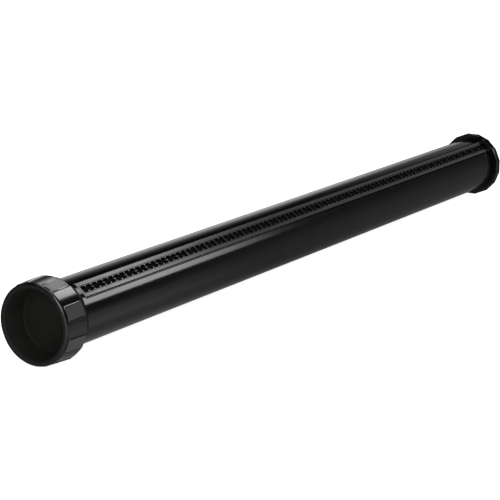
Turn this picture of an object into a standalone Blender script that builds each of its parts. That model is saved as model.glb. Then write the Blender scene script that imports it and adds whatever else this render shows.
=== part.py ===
"""Telescopic drawing tube, closed and lying on a flat of its faceted cap.

The tube's axis runs along X. The removable cap is at -X and the inner tube's grip flange at +X.
Around the axis, angles are counted from -Y (0 degrees) up towards +Z (90 degrees).
"""
import math

import bmesh
import bpy
from mathutils import Matrix

MM = 0.001
GAP = 0.3 * MM                       # clearance between neighbouring pieces
STEPS = 48                           # sides of a turned piece

# Overall form
CLOSED_LENGTH = 700.0 * MM
GRIP_APOTHEM = 32.0 * MM             # of the cap; also the axis height, lying on a flat
GRIP_SIDES = 16

# Outer tube
TUBE_R = 25.65 * MM
TUBE_BORE_R = 23.75 * MM
TUBE_START = 23.2 * MM               # from the cap's front rim, as are all stations below
TUBE_END = 688.7 * MM
TUBE_LIP = 1.0 * MM

# Toothed strip set into the outer tube
STRIP_ANGLE = math.radians(52.1)
STRIP_START = 35.7 * MM
FRAME_END_BAR = 1.3 * MM
RACK_START = STRIP_START + FRAME_END_BAR + GAP
PITCH = 13.37 * MM
STEPS_PER_RACK = 25
FRAME_HALF_WIDTH = 6.4 * MM
CHANNEL_HALF_WIDTH = 3.8 * MM
STRIP_TOP_H = 25.45 * MM             # height of the strip's flat top above the axis
FRAME_FLOOR_H = 24.15 * MM
REBATE_FLOOR_H = 23.85 * MM
REBATE_HALF_WIDTH = 6.7 * MM
GROOVE_R = 0.8 * MM
GROOVE_S = 7.05 * MM
GROOVE_H = 24.75 * MM
SLOT_HALF_WIDTH = 5.9 * MM
FRAME_END = 697.0 * MM
KEY_TOP_H = 28.6 * MM
KEY_START = 694.2 * MM

# Rack strips
RACK_HALF_WIDTH = 3.5 * MM
RACK_BASE_HALF_WIDTH = 5.6 * MM
RACK_BASE_LOW_H = 23.1 * MM
RACK_BASE_HIGH_H = 23.8 * MM
RACK_TOP_H = 25.35 * MM
RACK_TEETH_LOW_H = 22.1 * MM
COMB_SPINE = 0.45 * MM
TICK_LENGTH = 1.85 * MM
TICK_WIDTH = 1.2 * MM
TICKS_PER_PITCH = 2
TOOTH_REACH = 2.3 * MM
TOOTH_WIDTH = 1.6 * MM
PIP_SIZE = 1.6 * MM
PIP_TOP_H = 25.2 * MM
SINGLE_PIPS = 9
END_BAR = 0.9 * MM
RACK_FAR_END = 693.4 * MM

# Cap
CAP_LENGTH = 29.5 * MM
CAP_PAD_END = 21.5 * MM
CAP_REAR_APOTHEM = 27.4 * MM
CAP_CUP_R = 29.0 * MM
CAP_SOCKET_R = 26.15 * MM
CUP_MOUTH_R = 26.7 * MM
CUP_FLOOR_R = 25.6 * MM
CUP_DEPTH = 20.8 * MM
CUP_FLOOR_BACK = 22.6 * MM
SPIGOT_R = 23.4 * MM
SPIGOT_BORE_R = 19.9 * MM
SPIGOT_END = 32.0 * MM
SEAL_STATION = 26.0 * MM
SEAL_SECTION_R = 0.9 * MM
SEAL_GROOVE_DEPTH = 2.0 * MM
SEAL_STEPS = 32
PAD_HALF_ANGLE = math.radians(10.2)
LOBE_HALF_ANGLE = math.radians(12.0)
LOBE_DROP = 0.95 * MM
CAP_FRONT_ROUND = 2.1 * MM

# Inner tube and what slides with it
INNER_R = 20.8 * MM
INNER_BORE_R = 19.3 * MM
INNER_START = 36.0 * MM
INNER_END = 697.6 * MM
RING_BORE_R = 21.1 * MM
RING_R = 23.4 * MM
COLLAR_LENGTH = 3.4 * MM
GUIDE_LENGTH = 11.0 * MM
GUIDE_GAP_HALF_WIDTH = 4.6 * MM
COLLAR_GAP_HALF_WIDTH = 7.4 * MM
LOCK_RING_R = 21.8 * MM
LOCK_RING_MARGIN = 1.5 * MM
LUG_TOP_R = 22.8 * MM
LUG_WIDTH = 2.2 * MM
LUG_LENGTH = 10.6 * MM
LUG_S = 0.25 * MM
BUSH_LENGTH = 12.0 * MM
BUSH_GAP_HALF_WIDTH = 6.4 * MM

# Far flange and plug
FLANGE_START = 693.8 * MM
FLANGE_APOTHEM = 30.0 * MM
NOTCH_DEPTH = 3.7 * MM
NOTCH_LOW_S = -7.5 * MM
NOTCH_HIGH_S = 10.9 * MM
NOTCH_FLOOR_H = 23.0 * MM
PLUG_FACE_R = 24.0 * MM
PLUG_FACE_THICKNESS = 2.0 * MM
PLUG_SPIGOT_R = 18.9 * MM
PLUG_SPIGOT_BORE_R = 15.4 * MM
PLUG_SPIGOT_LENGTH = 14.0 * MM
FLANGE_BEVEL = 0.5 * MM

X_NEAR = -CLOSED_LENGTH / 2
AXIS_Z = GRIP_APOTHEM
QUARTER = math.pi / 2
FACET = 2 * math.pi / GRIP_SIDES


def clear_scene():
    for obj in list(bpy.data.objects):
        bpy.data.objects.remove(obj, do_unlink=True)


def new_collection(name):
    collection = bpy.data.collections.new(name)
    bpy.context.scene.collection.children.link(collection)
    return collection


clear_scene()
PARTS = new_collection("drawing_tube")
CUTTERS = new_collection("cutters")


def plastic(name, color, roughness):
    material = bpy.data.materials.new(name)
    material.use_nodes = True
    shader = material.node_tree.nodes["Principled BSDF"]
    shader.inputs["Base Color"].default_value = (*color, 1.0)
    shader.inputs["Roughness"].default_value = roughness
    shader.inputs["Metallic"].default_value = 0.0
    return material


def add_object(name, mesh, parent=None, cutter=False):
    obj = bpy.data.objects.new(name, mesh)
    (CUTTERS if cutter else PARTS).objects.link(obj)
    obj.parent = parent
    if cutter:
        obj.hide_render = True
        obj.display_type = "WIRE"
    return obj


def add_empty(name, location, rotation=(0.0, 0.0, 0.0)):
    empty = bpy.data.objects.new(name, None)
    PARTS.objects.link(empty)
    empty.empty_display_size = 0.02
    empty.location = location
    empty.rotation_euler = rotation
    return empty


def paint(obj, color=(0.012, 0.012, 0.012), roughness=0.3):
    obj.data.materials.append(plastic(obj.name + "_plastic", color, roughness))
    return obj


def box(name, low, high, parent=None, cutter=False):
    """A box between two corners, given in its parent's axes."""
    mesh = bpy.data.meshes.new(name)
    bm = bmesh.new()
    bmesh.ops.create_cube(bm, size=1.0)
    size = [high[i] - low[i] for i in range(3)]
    middle = [(high[i] + low[i]) / 2 for i in range(3)]
    bmesh.ops.scale(bm, vec=size, verts=bm.verts)
    bmesh.ops.translate(bm, vec=middle, verts=bm.verts)
    bm.to_mesh(mesh)
    bm.free()
    return add_object(name, mesh, parent, cutter)


def turned(name, profile, closed=False, steps=STEPS, cutter=False):
    """A solid turned about the tube's axis from (radius, station) points.

    The profile runs down its outer side, from the far station to the near one.
    """
    mesh = bpy.data.meshes.new(name)
    verts = [(radius, 0.0, station) for radius, station in profile]
    edges = [(i, i + 1) for i in range(len(verts) - 1)]
    if closed:
        edges.append((len(verts) - 1, 0))
    mesh.from_pydata(verts, edges, [])
    obj = add_object(name, mesh, TURN_AXIS, cutter)
    screw = obj.modifiers.new("turn", "SCREW")
    screw.axis = "Z"
    screw.steps = steps
    screw.render_steps = steps
    screw.use_merge_vertices = True
    screw.merge_threshold = 0.00001
    screw.use_smooth_shade = True
    return obj


def ring(name, outer_r, inner_r, start, end, **options):
    profile = [(outer_r, end), (outer_r, start), (inner_r, start), (inner_r, end)]
    return turned(name, profile, closed=True, **options)


def prism(name, outline, low, high, parent=None, cutter=False):
    """A flat outline in its parent's XY plane, extruded between two heights."""
    curve = bpy.data.curves.new(name, "CURVE")
    curve.dimensions = "2D"
    curve.fill_mode = "BOTH"
    curve.extrude = (high - low) / 2
    for loop in outline:
        spline = curve.splines.new("POLY")
        spline.points.add(len(loop) - 1)
        for point, (x, y) in zip(spline.points, loop):
            point.co = (x, y, 0.0, 1.0)
        spline.use_cyclic_u = True
    drawn = bpy.data.objects.new(name + "_outline", curve)
    PARTS.objects.link(drawn)
    depsgraph = bpy.context.evaluated_depsgraph_get()
    mesh = bpy.data.meshes.new_from_object(drawn.evaluated_get(depsgraph))
    bpy.data.objects.remove(drawn, do_unlink=True)
    bm = bmesh.new()
    bm.from_mesh(mesh)
    bmesh.ops.remove_doubles(bm, verts=bm.verts, dist=0.000001)
    bmesh.ops.recalc_face_normals(bm, faces=bm.faces)
    bmesh.ops.translate(bm, vec=(0.0, 0.0, (low + high) / 2), verts=bm.verts)
    bm.to_mesh(mesh)
    bm.free()
    mesh.name = name
    return add_object(name, mesh, parent, cutter)


def combine(obj, other, operation):
    boolean = obj.modifiers.new(operation.lower() + "_" + other.name, "BOOLEAN")
    boolean.operation = operation
    boolean.solver = "EXACT"
    boolean.object = other
    return obj


def cut(obj, *cutters):
    for cutter in cutters:
        combine(obj, cutter, "DIFFERENCE")
    return obj


def unite(obj, *others):
    """Join the others to the object in one step."""
    group = bpy.data.collections.new(obj.name + "_pieces")
    CUTTERS.children.link(group)
    for other in others:
        CUTTERS.objects.unlink(other)
        group.objects.link(other)
    boolean = obj.modifiers.new("union", "BOOLEAN")
    boolean.operation = "UNION"
    boolean.solver = "EXACT"
    boolean.operand_type = "COLLECTION"
    boolean.collection = group
    return obj


# The turning axis has its local Z along the tube, with zero at the cap's front rim.
TURN_AXIS = add_empty("turn_axis", (X_NEAR, 0.0, AXIS_Z), (0.0, QUARTER, 0.0))
# The strip's axes: X along the tube, Y across the strip, Z out from the axis.
STRIP_AXES = add_empty("strip_axes", (X_NEAR, 0.0, AXIS_Z), (QUARTER - STRIP_ANGLE, 0.0, 0.0))


def strip_cutter(name, start, end, half_width, low_h, high_h):
    low = (start, -half_width, low_h)
    high = (end, half_width, high_h)
    return box(name, low, high, STRIP_AXES, cutter=True)


# ---------------------------------------------------------------- outer tube and its strip

def groove_cutter(side):
    """A round bar that cuts the shallow groove beside one rail."""
    name = "groove_cutter_" + ("upper" if side > 0 else "lower")
    mesh = bpy.data.meshes.new(name)
    bm = bmesh.new()
    length = TUBE_END - STRIP_START + 10 * MM
    bmesh.ops.create_cone(bm, cap_ends=True, segments=12, radius1=GROOVE_R, radius2=GROOVE_R, depth=length)
    bmesh.ops.rotate(bm, cent=(0, 0, 0), matrix=Matrix.Rotation(QUARTER, 3, "Y"), verts=bm.verts)
    middle = STRIP_START - GAP + length / 2
    bmesh.ops.translate(bm, vec=(middle, side * GROOVE_S, GROOVE_H), verts=bm.verts)
    bm.to_mesh(mesh)
    bm.free()
    return add_object(name, mesh, STRIP_AXES, cutter=True)


def outer_tube():
    lip = TUBE_LIP
    profile = [(TUBE_BORE_R + 0.3 * MM, TUBE_END), (TUBE_R - lip, TUBE_END),
               (TUBE_R - 0.3 * lip, TUBE_END - 0.3 * lip), (TUBE_R, TUBE_END - lip),
               (TUBE_R, TUBE_START + lip), (TUBE_R - lip, TUBE_START),
               (TUBE_BORE_R, TUBE_START), (TUBE_BORE_R, TUBE_END - 0.3 * MM)]
    tube = turned("outer_tube", profile, closed=True)
    past_end = TUBE_END + 5 * MM
    start = STRIP_START - GAP
    slot = strip_cutter("slot_cutter", start + 1 * MM, past_end, SLOT_HALF_WIDTH, 20 * MM, 30 * MM)
    rebate = strip_cutter("rebate_cutter", start, past_end, REBATE_HALF_WIDTH, REBATE_FLOOR_H, 30 * MM)
    cut(tube, slot, rebate, groove_cutter(1), groove_cutter(-1))
    return paint(tube, (0.014, 0.014, 0.013), 0.28)


def rectangle(x0, x1, y0, y1):
    return [(x0, y0), (x1, y0), (x1, y1), (x0, y1)]


def strip_frame():
    """Both smooth rails, joined by a bar at the cap end and by the key block at the flange end."""
    outer = rectangle(STRIP_START, FRAME_END, -FRAME_HALF_WIDTH, FRAME_HALF_WIDTH)
    window = rectangle(STRIP_START + FRAME_END_BAR, KEY_START, -CHANNEL_HALF_WIDTH, CHANNEL_HALF_WIDTH)
    frame = prism("strip_frame", [outer, window], FRAME_FLOOR_H, STRIP_TOP_H, STRIP_AXES)
    low = (KEY_START, -FRAME_HALF_WIDTH + 0.01 * MM, FRAME_FLOOR_H + 0.2 * MM)
    high = (FRAME_END - 0.01 * MM, FRAME_HALF_WIDTH - 0.01 * MM, KEY_TOP_H)
    key = box("strip_key_block", low, high, STRIP_AXES, cutter=True)
    unite(frame, key)
    return paint(frame, (0.016, 0.016, 0.015), 0.3)


def comb(start, end, root_s, tip_s, spine_s, tooth_width, step):
    """Outline of a toothed edge: a straight spine at root_s with teeth that reach tip_s."""
    points = [(start, root_s), (start, spine_s)]
    station = start + step
    while station + tooth_width < end:
        points += [(station - tooth_width / 2, spine_s), (station - tooth_width / 2, tip_s)]
        points += [(station + tooth_width / 2, tip_s), (station + tooth_width / 2, spine_s)]
        station += step
    points += [(end, spine_s), (end, root_s)]
    return points


def rack_pips(name, start, end):
    """Raised marks, one per step: short for the first nine, long for the rest."""
    mesh = bpy.data.meshes.new(name)
    bm = bmesh.new()
    for number in range(1, STEPS_PER_RACK):
        station = start + number * PITCH
        if station + PIP_SIZE > end:
            break
        width = PIP_SIZE if number <= SINGLE_PIPS else 2.2 * PIP_SIZE
        low_h = RACK_BASE_HIGH_H - 0.2 * MM
        made = bmesh.ops.create_cube(bm, size=1.0)
        bmesh.ops.scale(bm, vec=(PIP_SIZE, width, PIP_TOP_H - low_h), verts=made["verts"])
        bmesh.ops.translate(bm, vec=(station, 0.0, (PIP_TOP_H + low_h) / 2), verts=made["verts"])
    bm.to_mesh(mesh)
    bm.free()
    return add_object(name, mesh, STRIP_AXES, cutter=True)


def rack_strip(name, start, end):
    """One moulded length: base plate, side ticks and marks outside, locking teeth inside."""
    base_end = min(end, TUBE_END - 0.5 * MM)
    wide = RACK_BASE_HALF_WIDTH
    half = RACK_HALF_WIDTH
    base = rectangle(start, base_end, -wide, wide)
    if end > base_end:
        # Past the outer tube's mouth only the narrow middle of the base goes on.
        narrow = half - GAP
        base[2:2] = [(base_end, -narrow), (end, -narrow), (end, narrow), (base_end, narrow)]
    strip = prism(name, [base], RACK_BASE_LOW_H, RACK_BASE_HIGH_H, STRIP_AXES)
    sink = 0.2 * MM
    inset = 0.05 * MM
    pieces = [rack_pips(name + "_pips", start, end)]
    for side, label in ((1, "upper"), (-1, "lower")):
        spine = side * (half - COMB_SPINE)
        tip = side * (half - TICK_LENGTH)
        ticks = comb(start + inset, end - inset, side * half, tip, spine, TICK_WIDTH, PITCH / TICKS_PER_PITCH)
        ticks_name = name + "_ticks_" + label
        pieces.append(prism(ticks_name, [ticks], RACK_BASE_HIGH_H - sink, RACK_TOP_H, STRIP_AXES, True))
    bar_low = (start + 2 * inset, inset - half, RACK_BASE_HIGH_H - sink - inset)
    bar_high = (start + END_BAR, half - inset, RACK_TOP_H - inset)
    pieces.append(box(name + "_end_bar", bar_low, bar_high, STRIP_AXES, cutter=True))
    inner_end = base_end - 16 * MM if end > base_end else end
    teeth = comb(start + inset, inner_end - inset, -half, -half + TOOTH_REACH, -half + COMB_SPINE,
                 TOOTH_WIDTH, PITCH)
    teeth_high = RACK_BASE_LOW_H + sink
    pieces.append(prism(name + "_teeth", [teeth], RACK_TEETH_LOW_H, teeth_high, STRIP_AXES, True))
    unite(strip, *pieces)
    return paint(strip, (0.018, 0.018, 0.017), 0.32)


def mouth_bush():
    """Bearing ring in the outer tube's far mouth, split where the strip passes."""
    start = TUBE_END - BUSH_LENGTH - 1 * MM
    bush = ring("mouth_bush", RING_R, RING_BORE_R, start, TUBE_END - 1 * MM)
    gap = strip_cutter("bush_gap_cutter", start - 5 * MM, TUBE_END + 5 * MM, BUSH_GAP_HALF_WIDTH,
                       15 * MM, 30 * MM)
    cut(bush, gap)
    return paint(bush, (0.02, 0.02, 0.02), 0.5)


# ---------------------------------------------------------------- removable cap

def grip_outline(apothem):
    """Eight flat pads with eight lower, slightly crowned facets between them."""
    points = []
    for k in range(GRIP_SIDES // 2):
        lobe = 2 * k * FACET
        for i in range(-3, 4):
            offset = LOBE_HALF_ANGLE * i / 3
            radius = apothem / math.cos(offset) - LOBE_DROP * (i / 3) ** 2
            points.append((radius, lobe + offset))
        pad = lobe + FACET
        for side in (-1, 1):
            radius = apothem / math.cos(PAD_HALF_ANGLE)
            points.append((radius, pad + side * PAD_HALF_ANGLE))
    return [[(r * math.cos(a), r * math.sin(a)) for r, a in points]]


def faceted_cone(name, near_apothem, far_apothem, start, end, parent=None, cutter=False):
    """A sixteen-sided frustum about the axis, with a flat facing straight down."""
    mesh = bpy.data.meshes.new(name)
    bm = bmesh.new()
    corner = 1 / math.cos(FACET / 2)
    bmesh.ops.create_cone(bm, cap_ends=True, segments=GRIP_SIDES, radius1=near_apothem * corner,
                          radius2=far_apothem * corner, depth=end - start)
    bmesh.ops.rotate(bm, cent=(0, 0, 0), matrix=Matrix.Rotation(FACET / 2, 3, "Z"), verts=bm.verts)
    bmesh.ops.translate(bm, vec=(0.0, 0.0, (start + end) / 2), verts=bm.verts)
    bm.to_mesh(mesh)
    bm.free()
    return add_object(name, mesh, parent or TURN_AXIS, cutter)


def cap_grip_ring():
    grip = prism("cap_grip_ring", grip_outline(GRIP_APOTHEM), 0.0, CAP_LENGTH, TURN_AXIS)
    rim_r = CAP_CUP_R + GAP
    widest = GRIP_APOTHEM / math.cos(PAD_HALF_ANGLE) + 0.1 * MM
    round_r = CAP_FRONT_ROUND
    front = [(0.0, CAP_LENGTH + 1 * MM), (widest, CAP_LENGTH + 1 * MM)]
    for i in range(5):
        angle = QUARTER * i / 4
        front.append((widest - round_r * (1 - math.cos(angle)), round_r * (1 - math.sin(angle))))
    front.append((0.0, 0.0))
    front_envelope = turned("cap_front_envelope", front, cutter=True)
    slope = (GRIP_APOTHEM - CAP_REAR_APOTHEM) / (CAP_LENGTH - CAP_PAD_END)
    ahead = 10 * MM
    wide = CAP_REAR_APOTHEM + slope * (CAP_LENGTH + ahead)
    narrow = CAP_REAR_APOTHEM - slope * 1 * MM
    rear_envelope = faceted_cone("cap_rear_envelope", wide, narrow, -ahead, CAP_LENGTH + 1 * MM, cutter=True)
    combine(grip, front_envelope, "INTERSECT")
    combine(grip, rear_envelope, "INTERSECT")
    bore = [(0.0, CAP_LENGTH + 2 * MM), (CAP_SOCKET_R, CAP_LENGTH + 2 * MM),
            (CAP_SOCKET_R, CUP_FLOOR_BACK + GAP), (rim_r, CUP_FLOOR_BACK + GAP),
            (rim_r, -2 * MM), (0.0, -2 * MM)]
    cut(grip, turned("cap_bore_cutter", bore, cutter=True))
    return paint(grip, (0.014, 0.014, 0.013), 0.3)


def cap_cup():
    """The cap's front cup, with the spigot that plugs the outer tube behind its floor."""
    seal_low = SEAL_STATION - SEAL_SECTION_R - GAP
    seal_high = SEAL_STATION + SEAL_SECTION_R + GAP
    seal_floor = SPIGOT_R - SEAL_GROOVE_DEPTH
    profile = [(0.0, CUP_FLOOR_BACK), (SPIGOT_BORE_R, CUP_FLOOR_BACK)]
    profile += [(SPIGOT_BORE_R, SPIGOT_END), (SPIGOT_R - 0.8 * MM, SPIGOT_END)]
    profile += [(SPIGOT_R, SPIGOT_END - 1.5 * MM), (SPIGOT_R, seal_high), (seal_floor, seal_high)]
    profile += [(seal_floor, seal_low), (SPIGOT_R, seal_low), (SPIGOT_R, CUP_FLOOR_BACK)]
    profile += [(CAP_CUP_R, CUP_FLOOR_BACK), (CAP_CUP_R, 0.5 * MM), (CAP_CUP_R - 0.6 * MM, 0.0)]
    profile += [(CUP_MOUTH_R + 0.5 * MM, 0.0), (CUP_MOUTH_R, 0.5 * MM)]
    fillet = 2.4 * MM
    for i in range(5):
        angle = QUARTER * i / 4
        radius = CUP_FLOOR_R - fillet * (1 - math.cos(angle))
        profile.append((radius, CUP_DEPTH - fillet * (1 - math.sin(angle))))
    profile.append((0.0, CUP_DEPTH))
    return paint(turned("cap_cup", profile), (0.012, 0.012, 0.012), 0.35)


def seal(name, spigot_r, station):
    """A rubber ring in the groove of a spigot of the given radius."""
    count = 6
    section_r = SEAL_SECTION_R
    centre_r = spigot_r - SEAL_GROOVE_DEPTH + GAP + section_r
    angles = [2 * math.pi * i / count for i in range(count)]
    profile = [(centre_r + section_r * math.cos(a), station - section_r * math.sin(a)) for a in angles]
    return paint(turned(name, profile, closed=True, steps=SEAL_STEPS), (0.02, 0.02, 0.02), 0.7)


# ---------------------------------------------------------------- sliding inner tube

def inner_tube():
    profile = [(INNER_R, INNER_END), (INNER_R, INNER_START + 0.6 * MM), (INNER_R - 0.6 * MM, INNER_START)]
    profile += [(INNER_BORE_R, INNER_START), (INNER_BORE_R, INNER_END)]
    return paint(turned("inner_tube", profile, closed=True), (0.013, 0.013, 0.013), 0.3)


def inner_end_rings():
    """Stop collar, guide ring and lock ring, in line from the inner tube's cap end."""
    collar_start = INNER_START + 1.0 * MM
    guide_start = collar_start + COLLAR_LENGTH + GAP
    lock_start = guide_start + GUIDE_LENGTH + GAP
    # The lug stands midway between two locking teeth, in the clear lane beside them.
    steps_in = math.ceil((lock_start + LUG_LENGTH / 2 - RACK_START) / PITCH - 0.5)
    lug_station = RACK_START + (steps_in + 0.5) * PITCH
    lock_end = lug_station + LUG_LENGTH / 2 + LOCK_RING_MARGIN
    collar = ring("stop_collar", RING_R - 0.2 * MM, RING_BORE_R, collar_start, collar_start + COLLAR_LENGTH)
    guide = ring("guide_ring", RING_R, RING_BORE_R, guide_start, guide_start + GUIDE_LENGTH)
    lock = ring("lock_ring", LOCK_RING_R, RING_BORE_R, lock_start, lock_end)
    wide_gap = strip_cutter("collar_gap_cutter", 0.0, guide_start, COLLAR_GAP_HALF_WIDTH, 15 * MM, 30 * MM)
    key_gap = strip_cutter("guide_gap_cutter", 0.0, lock_start, GUIDE_GAP_HALF_WIDTH, 15 * MM, 30 * MM)
    cut(collar, wide_gap)
    cut(guide, key_gap)
    low = (lug_station - LUG_LENGTH / 2, LUG_S - LUG_WIDTH / 2, LOCK_RING_R - 0.35 * MM)
    high = (lug_station + LUG_LENGTH / 2, LUG_S + LUG_WIDTH / 2, LUG_TOP_R)
    unite(lock, box("lock_lug", low, high, STRIP_AXES, cutter=True))
    paint(collar, (0.02, 0.02, 0.02), 0.45)
    paint(guide, (0.02, 0.02, 0.02), 0.5)
    paint(lock, (0.02, 0.02, 0.02), 0.45)


def far_flange():
    """Sixteen-sided grip on the inner tube, notched over the strip's key block."""
    flange = faceted_cone("far_flange", FLANGE_APOTHEM, FLANGE_APOTHEM, FLANGE_START, CLOSED_LENGTH)
    bevel = flange.modifiers.new("edges", "BEVEL")
    bevel.width = FLANGE_BEVEL
    bevel.segments = 2
    bevel.limit_method = "ANGLE"
    bevel.angle_limit = math.radians(60)
    seat_r = PLUG_FACE_R + GAP
    seat = CLOSED_LENGTH - PLUG_FACE_THICKNESS - GAP
    bore = [(0.0, CLOSED_LENGTH + 2 * MM), (seat_r, CLOSED_LENGTH + 2 * MM), (seat_r, seat)]
    bore += [(RING_BORE_R, seat), (RING_BORE_R, FLANGE_START - 2 * MM), (0.0, FLANGE_START - 2 * MM)]
    notch_low = (FLANGE_START - 2 * MM, NOTCH_LOW_S, NOTCH_FLOOR_H)
    notch_high = (FLANGE_START + NOTCH_DEPTH, NOTCH_HIGH_S, 40 * MM)
    notch = box("flange_notch_cutter", notch_low, notch_high, STRIP_AXES, cutter=True)
    cut(flange, turned("flange_bore_cutter", bore, cutter=True), notch)
    return paint(flange, (0.014, 0.014, 0.013), 0.3)


def far_plug():
    """Disc that closes the inner tube's far end, with a spigot in its bore."""
    face_back = CLOSED_LENGTH - PLUG_FACE_THICKNESS
    end = face_back - PLUG_SPIGOT_LENGTH
    seal_station = face_back - PLUG_SPIGOT_LENGTH / 2
    seal_low = seal_station - SEAL_SECTION_R - GAP
    seal_high = seal_station + SEAL_SECTION_R + GAP
    floor_r = PLUG_SPIGOT_R - SEAL_GROOVE_DEPTH
    profile = [(0.0, CLOSED_LENGTH - 1 * MM), (PLUG_FACE_R - 3 * MM, CLOSED_LENGTH - 1 * MM)]
    profile += [(PLUG_FACE_R - 2.4 * MM, CLOSED_LENGTH), (PLUG_FACE_R - 0.4 * MM, CLOSED_LENGTH)]
    profile += [(PLUG_FACE_R, CLOSED_LENGTH - 0.4 * MM), (PLUG_FACE_R, face_back)]
    profile += [(PLUG_SPIGOT_R, face_back), (PLUG_SPIGOT_R, seal_high), (floor_r, seal_high)]
    profile += [(floor_r, seal_low), (PLUG_SPIGOT_R, seal_low), (PLUG_SPIGOT_R, end + 1 * MM)]
    profile += [(PLUG_SPIGOT_R - 0.6 * MM, end), (PLUG_SPIGOT_BORE_R, end)]
    profile += [(PLUG_SPIGOT_BORE_R, face_back), (0.0, face_back)]
    paint(turned("far_plug", profile), (0.013, 0.013, 0.013), 0.32)
    seal("far_seal_ring", PLUG_SPIGOT_R, seal_station)


outer_tube()
strip_frame()
split = RACK_START + STEPS_PER_RACK * PITCH
rack_strip("rack_strip_near", RACK_START, split - GAP)
rack_strip("rack_strip_far", split, RACK_FAR_END)
mouth_bush()
cap_grip_ring()
cap_cup()
seal("cap_seal_ring", SPIGOT_R, SEAL_STATION)
inner_tube()
inner_end_rings()
far_flange()
far_plug()
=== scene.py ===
import math

import bmesh
import bpy
from mathutils import Matrix, Vector

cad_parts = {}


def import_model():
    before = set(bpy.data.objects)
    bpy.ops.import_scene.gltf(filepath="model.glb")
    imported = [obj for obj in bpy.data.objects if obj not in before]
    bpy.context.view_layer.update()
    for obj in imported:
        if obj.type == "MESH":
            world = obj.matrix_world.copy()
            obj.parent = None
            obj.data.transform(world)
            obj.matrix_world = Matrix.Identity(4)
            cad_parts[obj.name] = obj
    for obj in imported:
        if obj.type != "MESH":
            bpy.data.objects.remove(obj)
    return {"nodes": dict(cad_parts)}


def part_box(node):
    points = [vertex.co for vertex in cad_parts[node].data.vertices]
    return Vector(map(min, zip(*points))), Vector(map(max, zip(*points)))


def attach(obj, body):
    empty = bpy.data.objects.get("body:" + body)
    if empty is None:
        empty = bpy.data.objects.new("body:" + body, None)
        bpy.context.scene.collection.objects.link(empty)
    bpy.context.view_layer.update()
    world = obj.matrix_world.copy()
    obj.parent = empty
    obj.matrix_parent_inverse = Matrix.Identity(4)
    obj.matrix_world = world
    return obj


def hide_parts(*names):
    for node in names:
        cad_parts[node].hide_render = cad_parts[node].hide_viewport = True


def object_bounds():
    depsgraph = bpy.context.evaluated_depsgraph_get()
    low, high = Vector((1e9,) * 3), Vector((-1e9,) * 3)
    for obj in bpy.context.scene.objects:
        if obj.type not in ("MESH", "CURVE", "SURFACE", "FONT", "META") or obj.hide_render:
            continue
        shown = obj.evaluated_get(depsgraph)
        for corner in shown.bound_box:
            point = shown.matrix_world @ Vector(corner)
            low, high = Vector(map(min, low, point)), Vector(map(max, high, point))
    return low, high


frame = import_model()
CAD_LOW, CAD_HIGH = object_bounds()

MM = 0.001
QUARTER = math.pi / 2
FULL = 2 * math.pi

# ---------------------------------------------------------------- places from the frame

X_NEAR = CAD_LOW.x                       # the cap's front rim
LENGTH = CAD_HIGH.x - CAD_LOW.x
AXIS_Z = (CAD_LOW.z + CAD_HIGH.z) / 2
TUBE_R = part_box("outer_tube")[1].y
INNER_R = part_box("inner_tube")[1].y
GRIP_APOTHEM = AXIS_Z
FLANGE_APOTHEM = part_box("far_flange")[1].y


def station(x):
    """Distance along the tube from the cap's front rim."""
    return x - X_NEAR


def node_span(node):
    low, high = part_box(node)
    return station(low.x), station(high.x)


TUBE_START, TUBE_END = node_span("outer_tube")
FRAME_START, FRAME_END = node_span("strip_frame")
RACK_NEAR = node_span("rack_strip_near")
RACK_FAR = node_span("rack_strip_far")
INNER_START, INNER_END = node_span("inner_tube")
CAP_END = node_span("cap_grip_ring")[1]
SPIGOT_END = node_span("cap_cup")[1]
FLANGE_START = node_span("far_flange")[0]

# ---------------------------------------------------------------- sizes that the boxes don't give

GAP = 0.3 * MM
TUBE_WALL = 1.9 * MM
INNER_WALL = 1.5 * MM

STRIP_ANGLE = math.radians(52.1)         # from -Y up towards +Z
PITCH = 13.37 * MM
STEPS_PER_RACK = 25
RAIL_OUTER = 6.4 * MM
RAIL_INNER = 3.8 * MM
STRIP_TOP = 25.45 * MM
FRAME_FLOOR = 24.15 * MM
FRAME_END_BAR = 1.3 * MM
KEY_LENGTH = 2.8 * MM
KEY_TOP = 28.6 * MM
REBATE_HALF = 6.7 * MM
REBATE_FLOOR = 23.85 * MM
SLOT_HALF = 5.9 * MM
GROOVE_S = 7.05 * MM
GROOVE_H = 24.75 * MM
GROOVE_R = 0.8 * MM

RACK_HALF = 3.5 * MM
RACK_BASE_HALF = 5.6 * MM
RACK_BASE_LOW = 23.1 * MM
RACK_BASE_HIGH = 23.8 * MM
RACK_TOP = 25.35 * MM
TEETH_LOW = 22.1 * MM
SPINE = 0.45 * MM
TICK_LENGTH = 1.85 * MM
TICK_WIDTH = 1.1 * MM
TOOTH_REACH = 2.3 * MM
TOOTH_WIDTH = 1.6 * MM
NUMBER_HEIGHT = 2.3 * MM
NUMBER_TOP = 25.2 * MM
FONT_PER_HEIGHT = 1.42                   # font size over the height of its digits
TEETH_STOP = 16 * MM                     # the inner teeth end this far before the bush end
CHANNEL_SHADE_TOP = 25.1 * MM                  # below this the rack is dull and painted darker, as shade in its cells
END_BAR = 0.9 * MM

PAD_END = 21.5 * MM
CAP_REAR_APOTHEM = 27.4 * MM
RIM_R = 29.0 * MM
SOCKET_R = 26.15 * MM
CUP_MOUTH_R = 26.7 * MM
CUP_FLOOR_R = 25.6 * MM
CUP_DEPTH = 20.8 * MM
CUP_BACK = 22.6 * MM
SPIGOT_R = 23.4 * MM
SPIGOT_BORE_R = 19.9 * MM
SEAL_STATION = 26.0 * MM
SEAL_R = 0.9 * MM
SEAL_DEPTH = 2.0 * MM
PAD_HALF_ANGLE = math.radians(10.2)
FACETS = 16

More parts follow.
